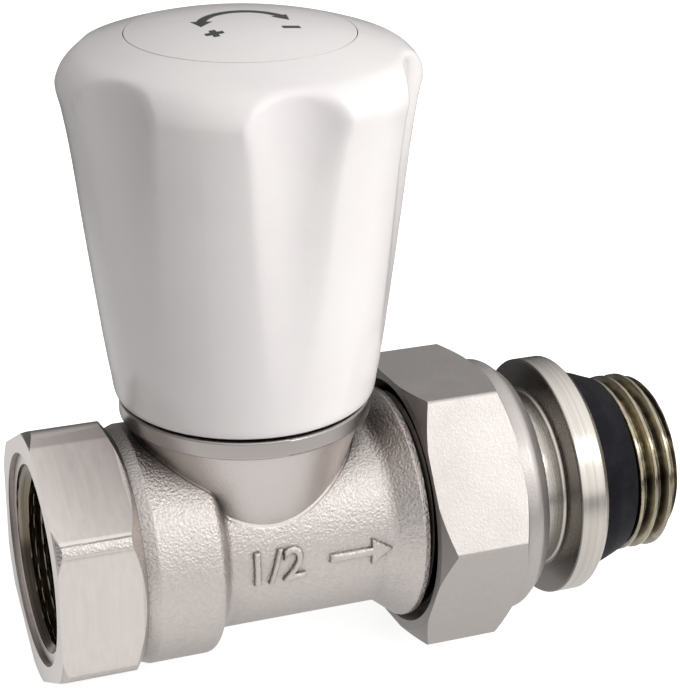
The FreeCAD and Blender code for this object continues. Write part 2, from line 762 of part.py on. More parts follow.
# Inside of the knob: the wall follows the flutes, with a hub and ribs left standing
cavity_top = cap_seat - knob_wall
inner_foot = knob_point(knob_foot_radius - knob_wall, knob_bottom)
inner_rim = knob_point(knob_rim_radius - knob_wall, knob_rim_height)
inner_roof = knob_point(knob_rim_radius - knob_wall, cavity_top)
cavity_face = Part.Face(Part.Wire([
    flare_line(knob_wall).toShape(),
    Part.makeLine(inner_rim, inner_roof),
    Part.makeLine(inner_roof, knob_point(0, cavity_top)),
    Part.makeLine(knob_point(0, cavity_top), knob_point(0, knob_bottom)),
    Part.makeLine(knob_point(0, knob_bottom), inner_foot),
]))
cavity = cavity_face.revolve(STEM_BASE, UP, 360)
flute_back = Part.makeCylinder(
    flute_radius + knob_wall,
    knob_top - knob_bottom,
    FreeCAD.Vector(stem_position, -flute_axis(knob_bottom), knob_bottom),
    FreeCAD.Vector(0, -flute_lean, 1),
)
ribs = []
for step in range(flute_count):
    rib = Part.makeBox(
        knob_rim_radius,
        rib_thickness,
        knob_top - rib_bottom,
        FreeCAD.Vector(stem_position, -rib_thickness / 2, rib_bottom),
    )
    rib.rotate(STEM_BASE, UP, 360 * step / flute_count)
    ribs.append(rib)
cavity = cavity.cut(round_the_knob(flute_back) + ribs + [rod_on_stem(hub_radius, hub_bottom, knob_top)])
socket_block = Part.makeBox(
    4 * stem_radius,
    stem_flats + 2 * moulded_gap,
    stem_top + free_gap - hub_bottom + cut_margin,
    FreeCAD.Vector(stem_position - 2 * stem_radius, -stem_flats / 2 - moulded_gap, hub_bottom - cut_margin),
)
socket = rod_on_stem(stem_radius + moulded_gap, hub_bottom - cut_margin, stem_top + free_gap)
socket = socket.common(socket_block)
screw_way = rod_on_stem(knob_screw_radius + moulded_gap, stem_top, lock_washer_bottom + cut_margin)
screw_well = rod_on_stem(screw_well_radius, lock_washer_bottom - contact_gap, knob_top)
cap_recess = rod_on_stem(cap_radius + moulded_gap, cap_seat, knob_top + cut_margin)
knob = knob.cut([cavity, socket, screw_way, screw_well, cap_recess])
save(knob, "knob")

# Knob cap: a piece of the same dome with a snap skirt below
dome_ball = Part.makeSphere(dome_ball_radius, knob_point(0, knob_top - dome_ball_radius))
cap_plate_bottom = dome_height(cap_radius) - cap_edge
cap = rod_on_stem(cap_radius, cap_plate_bottom, knob_top + cut_margin).common(dome_ball)
cap_skirt_bottom = cap_seat + contact_gap
cap_skirt_ring = ring_on_stem(cap_radius - cap_skirt, cap_radius, cap_skirt_bottom, cap_plate_bottom)
save(cap.fuse(cap_skirt_ring).removeSplitter(), "knob_cap")

knob_screw = turned_on_stem((
    (0, screw_end, 0),
    (knob_screw_radius, screw_end, 0.4),
    (knob_screw_radius, screw_head_bottom, 0),
    (knob_screw_head_radius, screw_head_bottom, 0),
    (knob_screw_head_radius, screw_head_bottom + knob_screw_head_height, 1.0),
    (0, screw_head_bottom + knob_screw_head_height, 0),
))
save(knob_screw, "knob_screw")

washer_top_height = lock_washer_bottom + lock_washer_thickness
lock_washer = ring_on_stem(
    knob_screw_radius + running_gap, lock_washer_radius, lock_washer_bottom, washer_top_height
)
save(lock_washer, "knob_lock_washer")
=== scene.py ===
"""Looks, fine detail and studio of the manual radiator valve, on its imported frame."""
import logging
from dataclasses import dataclass
from enum import Enum
from functools import cache, partial, reduce
from math import ceil, cos, pi, radians, sin, sqrt, tan
from typing import Any, Callable, Sequence, Union

import bmesh
import bpy
from bpy.types import ID, Curve, Material, Mesh, Node, NodeSocket, NodeTree, Object
from mathutils import Matrix, Vector


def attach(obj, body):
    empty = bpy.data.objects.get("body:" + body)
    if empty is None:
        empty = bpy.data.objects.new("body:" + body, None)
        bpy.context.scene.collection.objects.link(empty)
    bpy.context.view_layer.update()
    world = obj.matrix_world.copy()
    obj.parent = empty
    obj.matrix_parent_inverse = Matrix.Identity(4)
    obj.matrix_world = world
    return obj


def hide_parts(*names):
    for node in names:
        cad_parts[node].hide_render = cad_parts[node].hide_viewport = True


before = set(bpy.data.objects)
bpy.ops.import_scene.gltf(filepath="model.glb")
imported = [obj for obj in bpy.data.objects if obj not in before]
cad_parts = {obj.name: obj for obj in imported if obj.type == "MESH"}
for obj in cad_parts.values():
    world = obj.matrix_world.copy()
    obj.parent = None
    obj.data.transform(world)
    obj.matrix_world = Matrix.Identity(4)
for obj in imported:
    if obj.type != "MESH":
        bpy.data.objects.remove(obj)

LOG = logging.getLogger("radiator_valve")
# One millimetre in metres.
MM = 0.001
# Place of the stem along the pipe.
STEM_POSITION = 24.0
# Distance of the extra row beside a rounded corner, which keeps the faces next to it flat.
SUPPORT = 0.03
# Side of the squares that a plate is cut into before it is bent.
PLATE_SQUARE = 0.7
# Angle in degrees from which an edge of a plate stays sharp.
PLATE_SHARP = 35
# A place beyond the valve, for a zone that a finish doesn't have.
NOWHERE = 1000.0

Colour = tuple[float, float, float]
Place = tuple[float, float, float]
Point = tuple[float, float]
Span = tuple[float, float]
Radius = Union[float, Callable[[float], float]]
Row = tuple[float, Radius]
Wall = Callable[[float, float], float]

# Where cloudy noise and tool lines go from the dark to the light tone.
CLOUDS: Span = (0.3, 0.7)
LINES: Span = (0.25, 0.75)


class Axis(Enum):
    """Line that a turned surface runs round."""

    PIPE = 0.0
    STEM = 1.0


class Body(Enum):
    """Bodies of the frame that pieces ride on."""

    VALVE = "valve_body"
    HANDWHEEL = "handwheel"
    TAIL = "tailpiece"


class Board:
    """Short calls for placing and joining the nodes of one tree."""

    def __init__(self, tree: NodeTree) -> None:
        """Work on one node tree."""
        self.tree = tree

    def place(self, kind: str, **settings: Any) -> Node:
        """Add a node.

        Args:
            kind: Blender's name of the node type.
            **settings: Properties to set on it.

        Returns:
            The new node.
        """
        node = self.tree.nodes.new(kind)
        for key, value in settings.items():
            setattr(node, key, value)
        return node

    def feed(self, socket: NodeSocket, value: Any) -> None:
        """Join an input to an output, or give it a plain value.

        Args:
            socket: The input.
            value: An output socket, a number or a colour.
        """
        if isinstance(value, NodeSocket):
            self.tree.links.new(value, socket)
        elif isinstance(value, tuple) and socket.type == "RGBA":
            socket.default_value = value + (1.0,)
        else:
            socket.default_value = value

    def join(self, kind: str, *values: Any, **settings: Any) -> NodeSocket:
        """Add a node and feed its first inputs in their order.

        Args:
            kind: Blender's name of the node type.
            *values: Output sockets, numbers or colours.
            **settings: Properties to set on it.

        Returns:
            Its first output.
        """
        node = self.place(kind, **settings)
        for socket, value in zip(node.inputs, values):
            self.feed(socket, value)
        return node.outputs[0]

    def maths(self, operation: str, *values: Any) -> NodeSocket:
        """Work out a number, by Blender's name of the operation."""
        return self.join("ShaderNodeMath", *values, operation=operation)

    def total(self, *values: Any) -> NodeSocket:
        """Add several numbers."""
        return reduce(partial(self.maths, "ADD"), values)

    def product(self, *values: Any) -> NodeSocket:
        """Multiply several numbers."""
        return reduce(partial(self.maths, "MULTIPLY"), values)

    def highest(self, *values: Any) -> NodeSocket:
        """Take the highest of several numbers."""
        return reduce(partial(self.maths, "MAXIMUM"), values)

    def mix(self, share: Any, first: Any, second: Any) -> NodeSocket:
        """Mix two numbers, with a share from 0 to 1 of the second one."""
        rest = self.maths("SUBTRACT", 1.0, share)
        return self.total(self.product(rest, first), self.product(share, second))

    def smooth(self, value: Any, low: float, high: float) -> NodeSocket:
        """Take a value smoothly from 0 at low to 1 at high."""
        return self.join("ShaderNodeMapRange", value, low, high, interpolation_type="SMOOTHSTEP")

    def span(self, value: Any, low: float, high: float) -> NodeSocket:
        """Map a value from 0 and 1 to low and high."""
        return self.join("ShaderNodeMapRange", value, 0.0, 1.0, low, high)

    def blend(self, share: Any, first: Any, second: Any) -> NodeSocket:
        """Mix two colours.

        Args:
            share: How much of the second one, from 0 to 1.
            first: Colour at 0.
            second: Colour at 1.

        Returns:
            The mixed colour.
        """
        node = self.place("ShaderNodeMix", data_type="RGBA")
        self.feed(node.inputs[0], share)
        self.feed(node.inputs[6], first)
        self.feed(node.inputs[7], second)
        return node.outputs[2]

    def layered(self, base: Any, *layers: tuple[Any, Any]) -> NodeSocket:
        """Lay colours over a base one after the other, each with its share."""
        return reduce(lambda below, layer: self.blend(layer[0], below, layer[1]), layers, base)

    def noise(
        self, where: Any, scale: Any, detail: float, roughness: float, fourth: Any = 0.0
    ) -> NodeSocket:
        """Cloudy noise from 0 to 1, with its octaves, their strength and a fourth coordinate."""
        values = (where, fourth, scale, detail, roughness)
        return self.join("ShaderNodeTexNoise", *values, noise_dimensions="4D")

    def millimetres(self) -> NodeSocket:
        """Place on the surface in the row frame.

        Returns:
            A vector in millimetres.
        """
        node = self.place("ShaderNodeVectorMath", operation="SCALE")
        self.feed(node.inputs[0], self.place("ShaderNodeTexCoord").outputs["Object"])
        node.inputs["Scale"].default_value = 1 / MM
        return node.outputs[0]

    def parts(self, vector: NodeSocket) -> Sequence[NodeSocket]:
        """Split a vector into its three numbers."""
        return self.join("ShaderNodeSeparateXYZ", vector).node.outputs

    def use(self, tree: NodeTree, *values: Any) -> Any:
        """Place a shared group with its own values, and give its outputs."""
        return self.join("ShaderNodeGroup", *values, node_tree=tree).node.outputs


def new_group(name: str, **inputs: float) -> tuple[Board, Any]:
    """Start a shader node group.

    Args:
        name: Name of the group.
        **inputs: Its number inputs with their defaults.

    Returns:
        Its board and the sockets that bring its inputs.
    """
    tree = bpy.data.node_groups.new(name, "ShaderNodeTree")
    for key, value in inputs.items():
        socket = tree.interface.new_socket(name=key, in_out="INPUT", socket_type="NodeSocketFloat")
        socket.default_value = value
    board = Board(tree)
    return board, board.place("NodeGroupInput").outputs


def end_group(board: Board, **outputs: Any) -> NodeTree:
    """Give a shader node group its outputs.

    Args:
        board: Board of the group.
        **outputs: The number for each output.

    Returns:
        The group.
    """
    for key in outputs:
        board.tree.interface.new_socket(name=key, in_out="OUTPUT", socket_type="NodeSocketFloat")
    result = board.place("NodeGroupOutput")
    for key, value in outputs.items():
        board.feed(result.inputs[key], value)
    return board.tree


@cache
def axis_place() -> NodeTree:
    """Place along and round the pipe, or the stem where Upright is 1.

    Returns:
        The group. Its outputs are in millimetres and turns.
    """
    board, given = new_group("axis_place", Upright=0.0)
    x, y, z = board.parts(board.millimetres())
    upright = given["Upright"]
    along = board.mix(upright, x, z)
    across = board.mix(upright, z, board.maths("SUBTRACT", x, STEM_POSITION))
    radius = board.maths("SQRT", board.total(board.product(y, y), board.product(across, across)))
    turn = board.maths("DIVIDE", board.maths("ARCTAN2", across, y), 2 * pi)
    return end_group(board, Along=along, Radius=radius, Turn=turn)


@cache
def blast_grain() -> NodeTree:
    """Grain of a blasted forging.

    Returns:
        The group. Its height is fine dimples, and its tone slow clouds.
    """
    board, given = new_group("blast_grain", Size=0.4)
    where = board.millimetres()
    scale = board.maths("DIVIDE", 1.0, given["Size"])
    fine = board.noise(where, scale, 3.0, 0.6)
    cells = board.place("ShaderNodeTexVoronoi", feature="SMOOTH_F1")
    board.feed(cells.inputs["Vector"], where)
    board.feed(cells.inputs["Scale"], board.product(scale, 0.8))
    cells.inputs["Smoothness"].default_value = 0.6
    height = board.total(board.product(fine, 0.65), board.product(cells.outputs["Distance"], 0.5))
    tone = board.noise(where, board.product(scale, 0.45), 4.0, 0.7)
    return end_group(board, Height=height, Tone=tone)


@cache
def tool_lines() -> NodeTree:
    """Fine lines left by a cutting tool round an axis.

    Returns:
        The group, with a height and a tone.
    """
    board, given = new_group("tool_lines", Along=0.0, Radius=0.0, Turn=0.0, Spacing=0.1)
    swirl = 1.6
    scale = board.maths("DIVIDE", 1.0, given["Spacing"])
    angle = board.product(given["Turn"], 2 * pi)
    where = board.join(
        "ShaderNodeCombineXYZ",
        board.product(given["Along"], scale),
        board.product(given["Radius"], scale),
        board.product(board.maths("COSINE", angle), swirl),
    )
    beside = board.product(board.maths("SINE", angle), swirl)
    height = board.noise(where, 1.0, 2.0, 0.6, beside)
    tone = board.noise(where, 0.3, 2.0, 0.6, beside)
    return end_group(board, Height=height, Tone=tone)


@cache
def edge_wear() -> NodeTree:
    """Rubbed edges, from how far a rounded normal leaves the face's own.

    Returns:
        The group, with a mask.
    """
    board, given = new_group("edge_wear", Width=0.3)
    rounded_off = board.join("ShaderNodeBevel", board.product(given["Width"], MM), samples=4)
    flat = board.place("ShaderNodeNewGeometry").outputs["Normal"]
    dot = board.join("ShaderNodeVectorMath", rounded_off, flat, operation="DOT_PRODUCT").node
    return end_group(board, Mask=board.smooth(dot.outputs["Value"], 0.995, 0.86))


@cache
def painted_hollow_shade() -> NodeTree:
    """Painted shade in hollows, broken up by noise.

    Returns:
        The group, with a mask.
    """
    board, given = new_group("painted_hollow_shade", Reach=1.5)
    # Painted shade: darker where ambient occlusion finds surfaces close by.
    shade = board.place("ShaderNodeAmbientOcclusion", samples=4)
    board.feed(shade.inputs["Distance"], board.product(given["Reach"], MM))
    patches = board.noise(board.millimetres(), 1.4, 3.0, 0.6)
    depth = board.maths("SUBTRACT", 1.0, shade.outputs["AO"])
    mask = board.product(board.smooth(depth, 0.12, 0.75), board.span(patches, 0.55, 1.2))
    return end_group(board, Mask=mask)


@cache
def handling() -> NodeTree:
    """Faint smudges of handling.

    Returns:
        The group, with a mask.
    """
    board, given = new_group("handling", Size=6.0)
    scale = board.maths("DIVIDE", 1.0, given["Size"])
    clouds = board.noise(board.millimetres(), scale, 4.0, 0.65)
    return end_group(board, Mask=board.smooth(clouds, 0.42, 0.72))


def new_finish(name: str, metallic: float) -> tuple[Material, Board, Node]:
    """Start a material with one main shader.

    Args:
        name: Name of the material.
        metallic: 1 for metal and 0 for anything else.

    Returns:
        The material, its board and its main shader.
    """
    material = bpy.data.materials.new(name)
    material.use_nodes = True
    shader = material.node_tree.nodes["Principled BSDF"]
    shader.inputs["Metallic"].default_value = metallic
    return material, Board(material.node_tree), shader


def set_surface(board: Board, shader: Node, colour: Any, roughness: Any, height: Any) -> None:
    """Give a shader its colour, roughness and relief.

    Args:
        board: Board of the material.
        shader: Its main shader.
        colour: Base colour.
        roughness: Roughness from 0 to 1.
        height: Height over the surface in millimetres.
    """
    board.feed(shader.inputs["Base Color"], colour)
    board.feed(shader.inputs["Roughness"], roughness)
    bump = board.place("ShaderNodeBump")
    bump.inputs["Strength"].default_value = 1.0
    bump.inputs["Distance"].default_value = MM
    board.feed(bump.inputs["Height"], height)
    board.feed(shader.inputs["Normal"], bump.outputs["Normal"])


@dataclass(frozen=True)
class ForgedNickel:
    """Nickel plate over a forged body, blasted all over and milled on the hexagon."""

    light: Colour = (0.72, 0.665, 0.632)
    dark: Colour = (0.645, 0.594, 0.562)
    milled: Colour = (0.79, 0.728, 0.69)
    smooth_neck: Colour = (0.72, 0.665, 0.635)
    # Darker nickel for painted shade on the neck ring under the knob.
    painted_ring_shade: Colour = (0.42, 0.385, 0.365)
    # Colour of painted shade in hollows, under the knob and inside the union nut.
    painted_shade: Colour = (0.05, 0.043, 0.037)
    forged_rough: Span = (0.32, 0.44)
    cut_rough: Span = (0.25, 0.36)
    grain_size: float = 0.25
    line_spacing: float = 0.16
    wear_width: float = 0.35
    hollow_shade_reach: float = 3.6
    shade_reach: float = 14.0
    grain_height: float = 0.12
    wave_scale: float = 0.35
    wave_height: float = 0.07
    line_height: float = 0.008
    ridge_height: float = 1.2
    half_flats: float = 13.5
    hexagon_end: float = 8.2
    inlet_face: float = -0.6
    recess_radius: float = 11.8
    neck_foot_radius: float = 9.7
    neck_foot_height: float = 4.6
    neck_flare: float = 0.325
    ring_bottom: float = 14.5
    thread_start: float = 41.25
    thread_pitch: float = 1.814

    def zones(self, board: Board, radius: Any, stem_radius: Any) -> tuple[NodeSocket, ...]:
        """Masks of the zones that differ from the forged skin.

        Args:
            board: Board of the material.
            radius: Distance from the pipe's axis in millimetres.
            stem_radius: Distance from the stem's axis in millimetres.

        Returns:
            The masks of flats, neck, ring and thread, and of everything that a tool has cut.
        """
        x, y, z = board.parts(board.millimetres())
        lean_y = board.product(y, 0.5)
        lean_z = board.product(z, sqrt(0.75))
        faces = (y, board.total(lean_y, lean_z), board.maths("SUBTRACT", lean_y, lean_z))
        reach = board.highest(*(board.maths("ABSOLUTE", face) for face in faces))
        flats = board.product(
            board.smooth(reach, self.half_flats - 0.11, self.half_flats - 0.03),
            board.smooth(x, self.hexagon_end + 0.3, self.hexagon_end),
        )
        recess = board.product(
            board.smooth(x, 0.1, 0.05),
            board.smooth(radius, self.recess_radius + 0.1, self.recess_radius + 0.05),
        )
        mouth = board.highest(board.smooth(x, self.inlet_face + 0.15, self.inlet_face + 0.05), recess)
        rise = board.product(board.maths("SUBTRACT", z, self.neck_foot_height), self.neck_flare)
        cone = board.total(rise, self.neck_foot_radius)
        off_cone = board.maths("ABSOLUTE", board.maths("SUBTRACT", stem_radius, cone))
        neck = board.product(board.smooth(off_cone, 0.4, 0.2), board.smooth(z, 3.0, 5.0))
        ring = board.smooth(z, self.ring_bottom - 0.2, self.ring_bottom)
        thread = board.smooth(x, self.thread_start, self.thread_start + 0.1)
        return flats, neck, ring, thread, board.highest(flats, mouth, ring, thread)

    def make(self) -> Material:
        """Build the material.

        Returns:
            The material.
        """
        material, board, shader = new_finish("forged_nickel", 1.0)
        pipe = board.use(axis_place(), Axis.PIPE.value)
        stem = board.use(axis_place(), Axis.STEM.value)
        flats, neck, ring, thread, cut = self.zones(board, pipe["Radius"], stem["Radius"])
        grain = board.use(blast_grain(), self.grain_size)
        pipe_lines = board.use(tool_lines(), *pipe, self.line_spacing)
        stem_lines = board.use(tool_lines(), *stem, self.line_spacing)
        line_tone = board.mix(ring, pipe_lines["Tone"], stem_lines["Tone"])
        lines = board.mix(ring, pipe_lines["Height"], stem_lines["Height"])
        wear = board.use(edge_wear(), self.wear_width)["Mask"]
        hollow_shade = board.use(painted_hollow_shade(), self.hollow_shade_reach)["Mask"]
        shade = board.use(painted_hollow_shade(), self.shade_reach)["Mask"]
        colour = board.layered(
            board.blend(board.smooth(grain["Tone"], *CLOUDS), self.dark, self.light),
            (neck, self.smooth_neck),
            (cut, board.blend(board.smooth(line_tone, *LINES), self.light, self.milled)),
            (board.product(wear, 0.5), self.light),
            # Painted shade on the neck ring under the knob.
            (board.product(ring, 0.7), self.painted_ring_shade),
            # Painted shadow of the knob and nearby parts, mostly on the shoulder, faint on the hexagon
            # flats.
            (board.product(shade, board.span(flats, 0.4, 0.1)), self.painted_shade),
            # Painted shade in the body's hollows.
            (board.product(hollow_shade, 0.9), self.painted_shade),
            # Painted shade on the thread inside the union nut.
            (board.product(thread, 0.8), self.painted_shade),
        )
        rough_skin = board.span(grain["Tone"], *self.forged_rough)
        roughness = board.mix(cut, rough_skin, board.span(line_tone, *self.cut_rough))
        helix = board.total(board.maths("DIVIDE", pipe["Along"], self.thread_pitch), pipe["Turn"])
        ridge = board.maths("PINGPONG", helix, 0.5)
        waves = board.noise(board.millimetres(), self.wave_scale, 1.0, 0.5)
        blasted = board.product(board.maths("SUBTRACT", 1.0, cut), board.span(neck, 1.0, 0.25))
        height = board.total(
            board.product(grain["Height"], blasted, self.grain_height),
            board.product(waves, blasted, self.wave_height),
            board.product(lines, cut, self.line_height),
            board.product(ridge, thread, self.ridge_height),
        )
        set_surface(board, shader, colour, roughness, height)
        return material


@dataclass(frozen=True)
class SatinNickel:
    """Nickel plate with a fine satin grain, for the union nut."""

    light: Colour = (0.58, 0.54, 0.517)
    dark: Colour = (0.54, 0.50, 0.476)
    # Colour of painted shade in hollows and on the left-facing chamfer.
    painted_shade: Colour = (0.05, 0.043, 0.038)
    rough: Span = (0.34, 0.44)
    grain_size: float = 0.2
    grain_height: float = 0.02
    wave_scale: float = 0.3
    wave_height: float = 0.03
    wear_width: float = 0.3
    hollow_shade_reach: float = 1.2
    smudge_size: float = 5.0

    def make(self) -> Material:
        """Build the material.

        Returns:
            The material.
        """
        material, board, shader = new_finish("satin_nickel", 1.0)
        grain = board.use(blast_grain(), self.grain_size)
        wear = board.use(edge_wear(), self.wear_width)["Mask"]
        hollow_shade = board.use(painted_hollow_shade(), self.hollow_shade_reach)["Mask"]
        smudge = board.use(handling(), self.smudge_size)["Mask"]
        facing = board.parts(board.place("ShaderNodeNewGeometry").outputs["Normal"])[0]
        # Faces turned to the left get painted shade.
        painted_left_shade = board.smooth(facing, -0.35, -0.75)
        colour = board.layered(
            board.blend(board.smooth(grain["Tone"], *CLOUDS), self.dark, self.light),
            (board.product(wear, 0.55), self.light),
            # Painted shade in hollows and on the left-facing chamfer.
            (board.highest(board.product(hollow_shade, 0.85), board.product(painted_left_shade, 0.5)), self.painted_shade),
        )
        roughness = board.total(board.span(grain["Tone"], *self.rough), board.product(smudge, 0.06))
        waves = board.noise(board.millimetres(), self.wave_scale, 1.0, 0.5)
        height = board.total(
            board.product(grain["Height"], self.grain_height), board.product(waves, self.wave_height)
        )
        set_surface(board, shader, colour, roughness, height)
        return material


@dataclass(frozen=True)
class TurnedMetal:
    """Bare or plated metal with the lines of a lathe round one axis."""

    name: str
    light: Colour
    dark: Colour
    axis: Axis
    rough: float = 0.24
    line_spacing: float = 0.11
    line_height: float = 0.012
    wear_width: float = 0.2
    hollow_shade_reach: float = 0.9
    smudge_size: float = 4.0
    flank: Colour = (0.33, 0.297, 0.24)
    crest: Colour = (0.76, 0.66, 0.43)
    crest_start: float = NOWHERE
    crest_end: float = NOWHERE
    root_radius: float = 9.2
    # Radii and tone of the painted shade in the thread's roots.
    groove_radius: float = 10.25
    groove_floor: float = 9.5
    root_shade_tone: float = 0.12
    # Place along the axis of a face with painted shade, the flange's back face on the tailpiece.
    painted_shade_face: float = NOWHERE
    # Share of the dark tone for painted shade in hollows and on the shaded face.
    painted_shade_tone: float = 0.18

    def make(self) -> Material:
        """Build the material.

        Returns:
            The material.
        """
        material, board, shader = new_finish(self.name, 1.0)
        place = board.use(axis_place(), self.axis.value)
        lines = board.use(tool_lines(), *place, self.line_spacing)
        wear = board.use(edge_wear(), self.wear_width)["Mask"]
        hollow_shade = board.use(painted_hollow_shade(), self.hollow_shade_reach)["Mask"]
        smudge = board.use(handling(), self.smudge_size)["Mask"]
        threaded = board.smooth(place["Along"], self.crest_start, self.crest_start + 0.1)
        outside = board.product(
            board.smooth(place["Radius"], self.root_radius - 0.2, self.root_radius - 0.1),
            board.smooth(place["Along"], self.crest_end - 0.02, self.crest_end - 0.05),
        )
        # Painted shade in the thread's roots, deepening from the groove radius to the groove floor.
        root_shade = board.smooth(place["Radius"], self.groove_radius, self.groove_floor)
        # Painted shade on the face at that place.
        off_face = board.maths("ABSOLUTE", board.maths("SUBTRACT", place["Along"], self.painted_shade_face))
        face_shade = board.product(board.smooth(off_face, 0.22, 0.12), 0.75)
        rubbed = board.highest(wear, board.product(smudge, 0.7))
        root_shade_colour = tuple(part * self.root_shade_tone for part in self.flank)
        painted_shade = tuple(part * self.painted_shade_tone for part in self.dark)
        colour = board.layered(
            board.blend(board.smooth(lines["Tone"], *LINES), self.dark, self.light),
            (threaded, board.blend(outside, self.crest, self.flank)),
            # Painted shade in the thread's roots.
            (board.product(threaded, outside, root_shade, 0.9), root_shade_colour),
            (board.product(threaded, outside, rubbed, 0.75), self.crest),
            # Painted shade in hollows and on that face.
            (board.highest(board.product(hollow_shade, 0.4), face_shade), painted_shade),
        )
        roughness = board.total(
            board.span(lines["Tone"], self.rough - 0.05, self.rough + 0.07),
            board.product(smudge, 0.06),
            board.product(threaded, -0.1),
        )
        set_surface(board, shader, colour, roughness, board.product(lines["Height"], self.line_height))
        return material


@dataclass(frozen=True)
class MouldedWhite:
    """Glossy white moulding with a faint flow and smudges."""

    name: str
    light: Colour = (0.86, 0.825, 0.81)
    dark: Colour = (0.835, 0.795, 0.785)
    # Colour of painted shade in the knob's hollows.
    painted_shade: Colour = (0.42, 0.38, 0.36)
    rough: float = 0.17
    index: float = 1.53
    flow_scale: float = 0.09
    peel_scale: float = 0.7
    peel_height: float = 0.012
    smudge_size: float = 9.0
    hollow_shade_reach: float = 0.8

    def make(self) -> Material:
        """Build the material.

        Returns:
            The material.
        """
        material, board, shader = new_finish(self.name, 0.0)
        where = board.millimetres()
        flow = board.noise(where, self.flow_scale, 3.0, 0.55)
        peel = board.noise(where, self.peel_scale, 2.0, 0.5)
        smudge = board.use(handling(), self.smudge_size)["Mask"]
        hollow_shade = board.use(painted_hollow_shade(), self.hollow_shade_reach)["Mask"]
        colour = board.layered(
            board.blend(board.smooth(flow, *CLOUDS), self.dark, self.light),
            # Painted shade in the knob's hollows.
            (board.product(hollow_shade, 0.35), self.painted_shade),
        )
        shader.inputs["IOR"].default_value = self.index
        roughness = board.span(smudge, self.rough, self.rough + 0.06)
        set_surface(board, shader, colour, roughness, board.product(peel, self.peel_height))
        return material


@dataclass(frozen=True)
class DarkRubber:
    """Black rubber with a dull bloom and a fine grain."""

    light: Colour = (0.011, 0.010, 0.013)
    dark: Colour = (0.004, 0.004, 0.005)
    tint: Colour = (0.86, 0.80, 0.95)
    rough: Span = (0.45, 0.65)
    shine: float = 0.14
    grain_size: float = 0.18
    grain_height: float = 0.02
    bloom_size: float = 2.5

    def make(self) -> Material:
        """Build the material.

        Returns:
            The material.
        """
        material, board, shader = new_finish("black_rubber", 0.0)
        grain = board.use(blast_grain(), self.grain_size)
        bloom = board.use(handling(), self.bloom_size)["Mask"]
        colour = board.blend(bloom, self.dark, self.light)
        shader.inputs["Specular IOR Level"].default_value = self.shine
        board.feed(shader.inputs["Specular Tint"], self.tint)
        roughness = board.span(grain["Tone"], *self.rough)
        set_surface(board, shader, colour, roughness, board.product(grain["Height"], self.grain_height))
        return material


@dataclass(frozen=True)
class SoftSheet:
    """Dull sheet or slip material of the inner rings."""

    name: str
    light: Colour
    dark: Colour
    rough: float
    grain_size: float = 0.5
    grain_height: float = 0.03

    def make(self) -> Material:
        """Build the material.

        Returns:
            The material.
        """
        material, board, shader = new_finish(self.name, 0.0)
        grain = board.use(blast_grain(), self.grain_size)
        colour = board.blend(grain["Tone"], self.dark, self.light)
        roughness = board.span(grain["Tone"], self.rough - 0.08, self.rough + 0.08)
        set_surface(board, shader, colour, roughness, board.product(grain["Height"], self.grain_height))
        return material


@dataclass(frozen=True)
class PrintInk:
    """Dark grey printing ink, worn a little."""

    light: Colour = (0.045, 0.045, 0.048)
    dark: Colour = (0.018, 0.018, 0.020)
    rough: Span = (0.28, 0.42)
    wear_size: float = 1.2

    def make(self) -> Material:
        """Build the material.

        Returns:
            The material.
        """
        material, board, shader = new_finish("print_ink", 0.0)
        worn = board.use(handling(), self.wear_size)["Mask"]
        board.feed(shader.inputs["Base Color"], board.blend(worn, self.dark, self.light))
        board.feed(shader.inputs["Roughness"], board.span(worn, *self.rough))
        return material


def add(name: str, data: ID) -> Object:
    """Put data in the scene as an object.

    Args:
        name: Name of the object.
        data: Its mesh, curve, lamp or camera.

    Returns:
        The object.
    """
    thing = bpy.data.objects.new(name, data)
    bpy.context.scene.collection.objects.link(thing)
    return thing


def show(name: str, mesh: Mesh, material: Material, body: Body) -> Object:
    """Put a mesh in the scene as a piece of the valve.

    Args:
        name: Name of the piece.
        mesh: Its mesh in metres, in the row frame.
        material: Its finish.
        body: Body that it rides on.

    Returns:
        The piece.
    """
    mesh.name = name
    mesh.materials.clear()
    mesh.materials.append(material)
    piece = add(name, mesh)
    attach(piece, body.value)
    LOG.info("piece %s with %d faces", name, len(mesh.polygons))
    return piece


def dress(node: str, material: Material) -> None:
    """Give a node of the frame its finish.

    Args:
        node: Name of the node.
        material: The finish.
    """
    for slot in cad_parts[node].material_slots:
        slot.material = material
    LOG.info("node %s in %s", node, material.name)


def lathe_mesh(rows: Sequence[Row], segments: int, sharp: float) -> Mesh:
    """Closed mesh turned about the pipe from a loop of rows.

    Args:
        rows: Place along the pipe and radius in millimetres. A radius may depend on the turn.
        segments: Steps round the pipe.
        sharp: Angle in degrees from which an edge stays sharp.

    Returns:
        The mesh in metres.
    """
    points = []
    for along, radius in rows:
        for step in range(segments):
            turn = 2 * pi * step / segments
            reach = radius(turn) if callable(radius) else radius
            points.append((along * MM, -reach * cos(turn) * MM, -reach * sin(turn) * MM))
    faces = []
    for row in range(len(rows)):
        here = row * segments
        there = (row + 1) % len(rows) * segments
        for step in range(segments):
            beside = (step + 1) % segments
            faces.append((here + step, there + step, there + beside, here + beside))
    mesh = bpy.data.meshes.new("turned")
    mesh.from_pydata(points, [], faces)
    mesh.validate()
    mesh.shade_smooth()
    mesh.set_sharp_from_angle(angle=radians(sharp))
    return mesh


